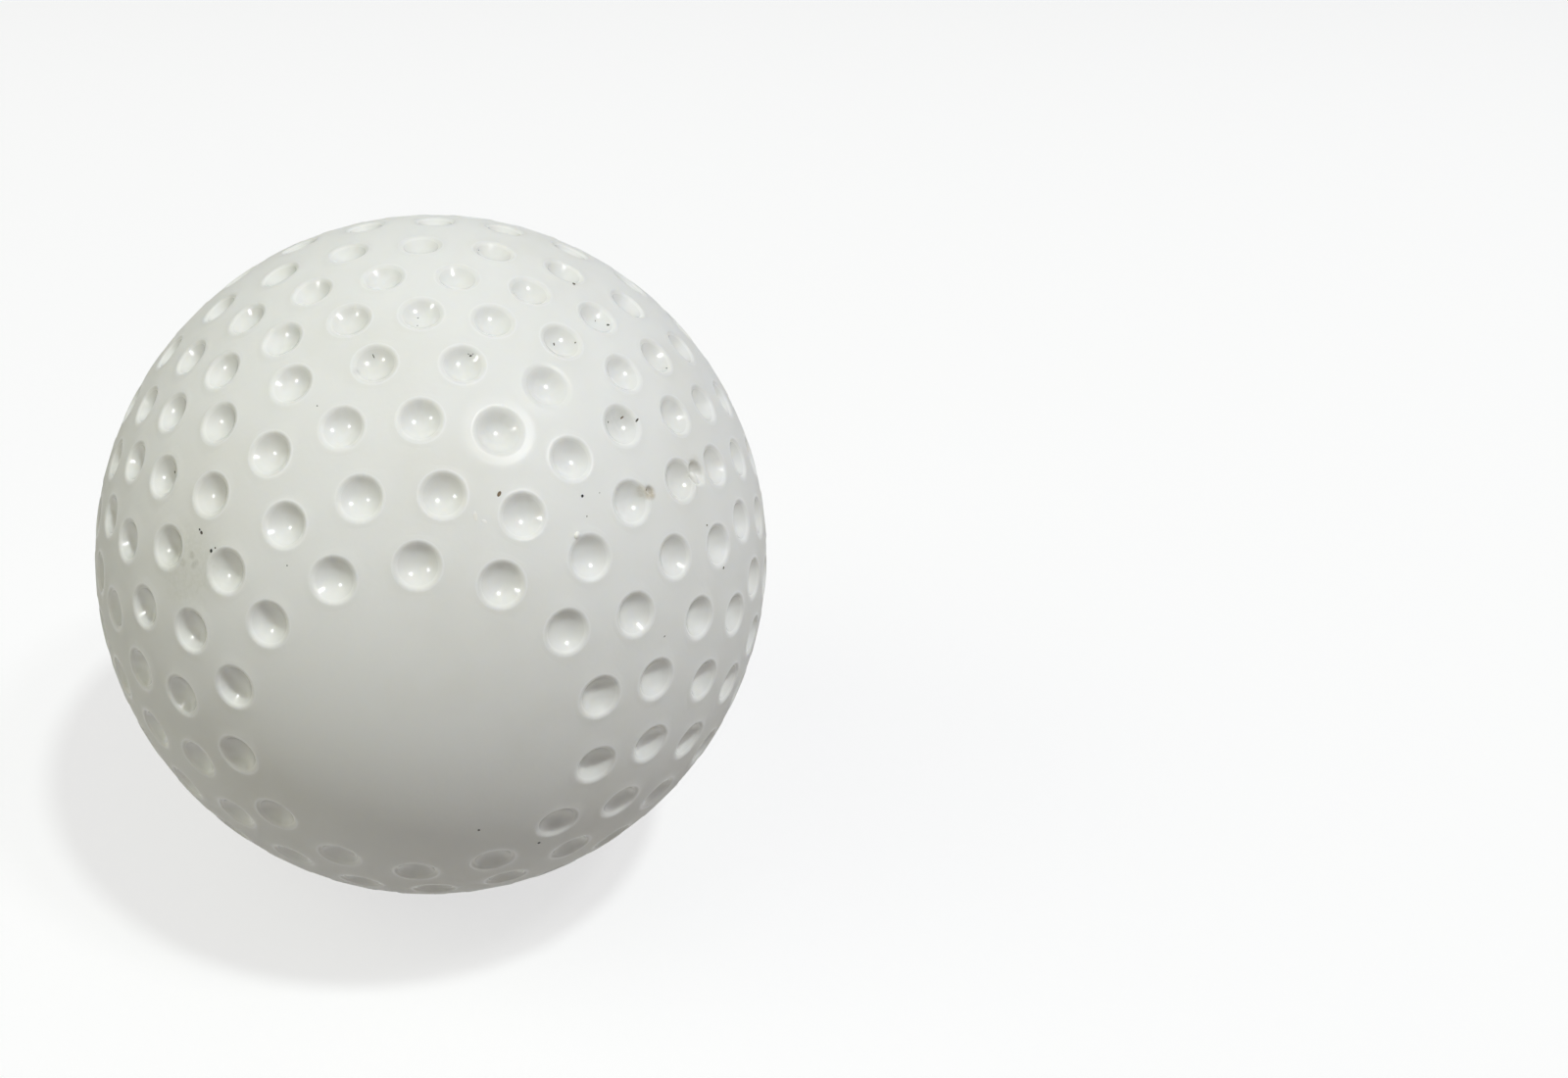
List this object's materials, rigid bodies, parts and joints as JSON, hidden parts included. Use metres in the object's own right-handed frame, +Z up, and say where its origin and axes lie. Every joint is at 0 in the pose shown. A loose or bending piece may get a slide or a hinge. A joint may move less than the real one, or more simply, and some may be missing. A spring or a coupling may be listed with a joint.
{
  "type": "field hockey ball",
  "caption": "Solid moulded plastic ball with rings of round dimples, two bare polar patches and a bare band along its parting plane.",
  "frame": {"origin": "centre of the ball", "axes": "+Z up, +Y along the moulding axis through the two bare polar patches, parting plane in XZ, the patch that the picture shows faces -Y"},
  "size_m": [0.073, 0.073, 0.073],
  "materials": {
    "moulded_shell": "semi-gloss warm white moulded plastic, lightly soiled"
  },
  "bodies": {
    "root": {"ball": "moulded_shell"}
  },
  "joints": []
}
